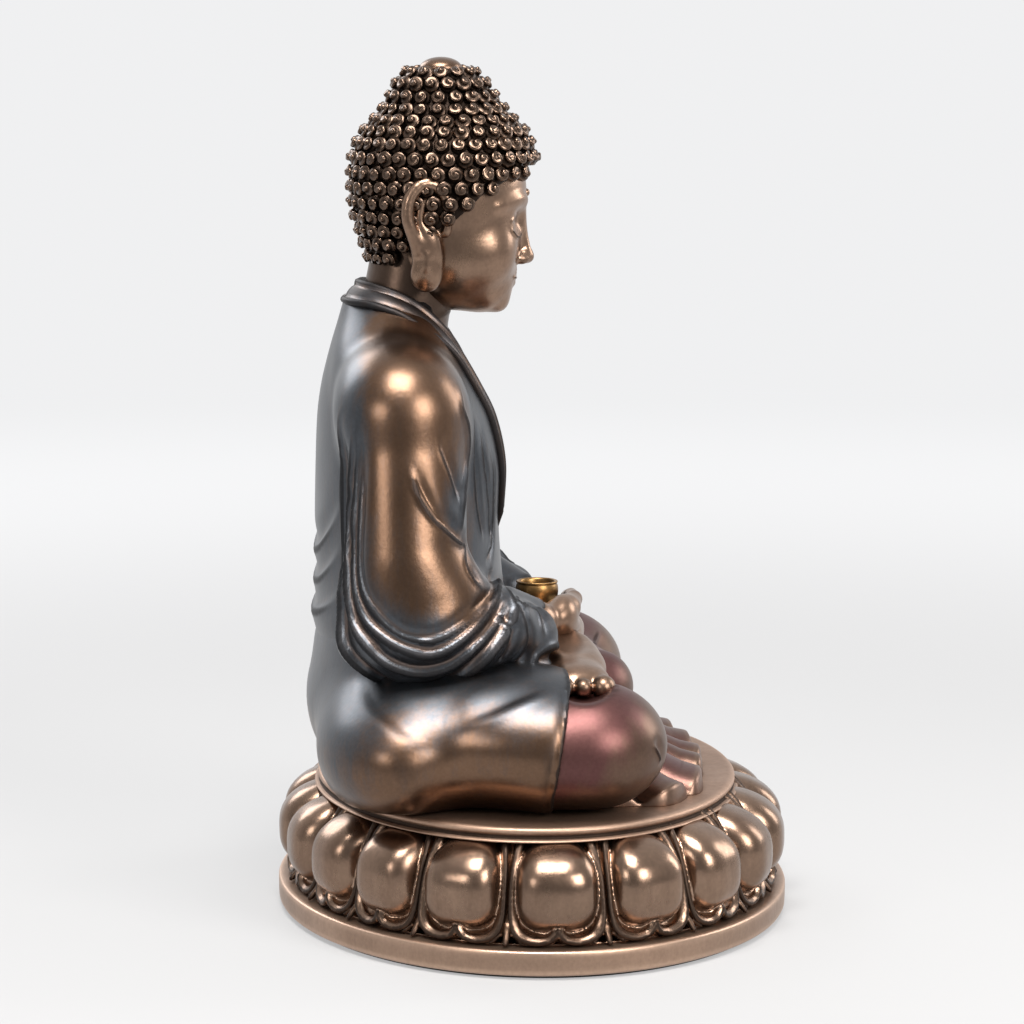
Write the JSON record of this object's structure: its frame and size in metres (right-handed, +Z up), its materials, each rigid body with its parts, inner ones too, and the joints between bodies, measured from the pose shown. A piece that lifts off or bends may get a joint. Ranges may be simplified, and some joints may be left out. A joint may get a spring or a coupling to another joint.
{
  "type": "seated buddha statue",
  "caption": "Seated robed figure with curled hair and folded legs holding a small cup, on an oval lotus throne.",
  "frame": {"origin": "middle of the underside, on the surface the statue stands on", "axes": "+Z up, the figure faces -Y, +X towards the figure's left hand"},
  "size_m": [0.208, 0.1536, 0.2542],
  "materials": {
    "cast_bronze": "satin brown bronze patina",
    "robe_patina": "satin blue-grey and brown patina",
    "plum_patina": "satin rose-brown patina",
    "hair_patina": "satin dark bronze patina",
    "antique_gold": "satin antique gold",
    "felt": "matte black felt"
  },
  "bodies": {
    "root": {"alms_cup": "antique_gold", "brow_dot": "antique_gold", "chest": "cast_bronze", "crown_bun": "hair_patina", "crown_jewel": "cast_bronze", "felt_pad": "felt", "hair_cap": "hair_patina", "head": "cast_bronze", "hem_fan": "plum_patina", "left_ear": "cast_bronze", "left_foot": "cast_bronze", "left_hand": "cast_bronze", "left_lapel": "robe_patina", "left_leg": "plum_patina", "left_sleeve": "robe_patina", "lotus_core": "cast_bronze", "lotus_petal_01": "cast_bronze", "lotus_petal_02": "cast_bronze", "lotus_petal_03": "cast_bronze", "lotus_petal_04": "cast_bronze", "lotus_petal_05": "cast_bronze", "lotus_petal_06": "cast_bronze", "lotus_petal_07": "cast_bronze", "lotus_petal_08": "cast_bronze", "lotus_petal_09": "cast_bronze", "lotus_petal_10": "cast_bronze", "lotus_petal_11": "cast_bronze", "lotus_petal_12": "cast_bronze", "lotus_petal_13": "cast_bronze", "lotus_petal_14": "cast_bronze", "lotus_petal_15": "cast_bronze", "lotus_petal_16": "cast_bronze", "lotus_petal_17": "cast_bronze", "lotus_petal_18": "cast_bronze", "lotus_petal_19": "cast_bronze", "lotus_petal_20": "cast_bronze", "neck": "cast_bronze", "plinth": "cast_bronze", "right_ear": "cast_bronze", "right_foot": "cast_bronze", "right_hand": "cast_bronze", "right_lapel": "robe_patina", "right_leg": "plum_patina", "right_sleeve": "robe_patina", "robe_skirt": "robe_patina", "robe_torso": "robe_patina", "seat_plate": "cast_bronze"}
  },
  "joints": []
}
